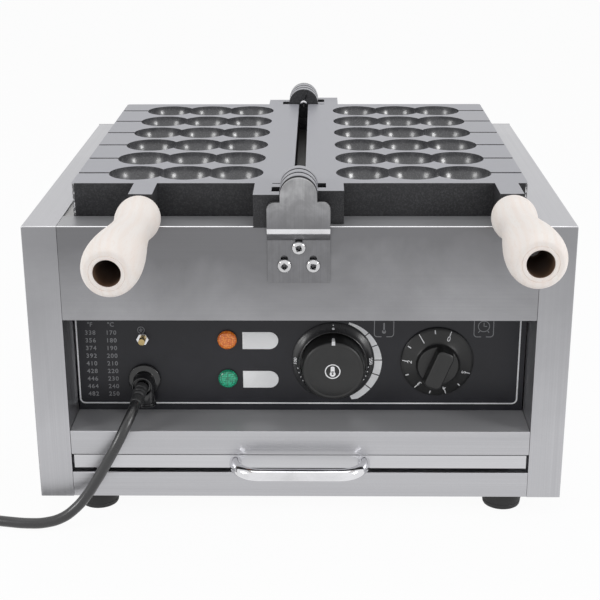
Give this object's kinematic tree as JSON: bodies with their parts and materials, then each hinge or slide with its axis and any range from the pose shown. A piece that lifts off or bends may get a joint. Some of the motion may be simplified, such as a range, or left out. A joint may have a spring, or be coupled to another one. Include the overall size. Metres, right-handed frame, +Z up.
{
  "type": "waffle maker",
  "caption": "Electric book-fold baker for waffle balls on skewers: cast half-ball plates with wooden handles, a steel casing, two dials, a crumb tray and a mains cord.",
  "frame": {"origin": "middle of the footprint, at table level", "axes": "+X to the right of a person at the controls, +Y from the controls to the back, +Z up; the hinge line of the plates stands over x = 0 and runs along Y"},
  "size_m": [0.6867, 0.5754, 0.3177],
  "materials": {
    "stainless": "brushed sheet",
    "stainless_bright": "bright",
    "screw_steel": "satin",
    "black_panel": "satin black",
    "insulation_wool": "mineral wool",
    "element_sheath": "dull",
    "brass": "bare",
    "black_plastic": "matte",
    "gloss_black": "gloss",
    "rubber_black": "matte",
    "amber_lens": "clear tinted",
    "green_lens": "clear tinted",
    "white_plate": "satin",
    "terminal_white": "matte",
    "nonstick_cast": "cast, with a dark non-stick coat",
    "pale_wood": "sanded, unvarnished"
  },
  "bodies": {
    "housing": {"base_pan": "stainless", "left_side_panel": "stainless", "right_side_panel": "stainless", "front_apron": "stainless", "sill_rail": "stainless", "rear_panel": "stainless", "control_panel": "black_panel", "deck_frame": "stainless", "left_heater_bed": "stainless_bright", "right_heater_bed": "stainless_bright", "left_insulation": "insulation_wool", "right_insulation": "insulation_wool", "left_reflector": "stainless_bright", "right_reflector": "stainless_bright", "left_heating_element": "element_sheath", "right_heating_element": "element_sheath", "element_supports": "element_sheath", "terminal_block": "terminal_white", "thermostat": "black_plastic", "thermostat_bulb": "brass", "thermostat_bezel": "gloss_black", "timer": "black_plastic", "amber_lamp": "amber_lens", "green_lamp": "green_lens", "lamp_nuts": "screw_steel", "lamp_label_plates": "white_plate", "bonding_stud": "brass", "bonding_nut": "screw_steel", "cord_gland": "black_plastic", "cord_boot": "rubber_black", "front_hinge_bracket": "stainless", "rear_hinge_bracket": "stainless", "front_hinge_pin": "screw_steel", "rear_hinge_pin": "screw_steel", "bracket_screws": "screw_steel", "left_tray_guide": "stainless", "right_tray_guide": "stainless", "feet": "rubber_black", "foot_screws": "screw_steel", "casing_screws": "screw_steel", "cord_run": "rubber_black", "cord_coil": "rubber_black", "plug": "rubber_black"},
    "left_half": {"left_plate": "nonstick_cast", "left_handle": "pale_wood", "left_handle_bolt": "screw_steel"},
    "right_half": {"right_plate": "nonstick_cast", "right_handle": "pale_wood", "right_handle_bolt": "screw_steel"},
    "tray": {"crumb_tray": "stainless", "tray_handle": "stainless_bright", "tray_handle_screws": "screw_steel"},
    "thermostat_dial": {"thermostat_shaft": "screw_steel", "thermostat_knob": "gloss_black"},
    "timer_dial": {"timer_shaft": "screw_steel", "timer_knob": "gloss_black"}
  },
  "joints": [
    {"name": "left_half_fold", "type": "hinge", "parent": "housing", "child": "left_half", "pos_m": [0, 0.06419, 0.30175], "axis": [0, 1, 0], "range_deg": [0, 180]},
    {"name": "right_half_fold", "type": "hinge", "parent": "housing", "child": "right_half", "pos_m": [0, 0.06419, 0.30175], "axis": [0, 1, 0], "range_deg": [-180, 0]},
    {"name": "crumb_tray_slide", "type": "slide", "parent": "housing", "child": "tray", "axis": [0, -1, 0], "range_m": [0, 0.3], "deforming": ["cord_run"]},
    {"name": "thermostat_turn", "type": "hinge", "parent": "housing", "child": "thermostat_dial", "pos_m": [0.03, -0.11581, 0.1313], "axis": [0, 1, 0], "range_deg": [0, 270]},
    {"name": "timer_turn", "type": "hinge", "parent": "housing", "child": "timer_dial", "pos_m": [0.1246, -0.11581, 0.1313], "axis": [0, 1, 0], "range_deg": [-22, 278]}
  ]
}
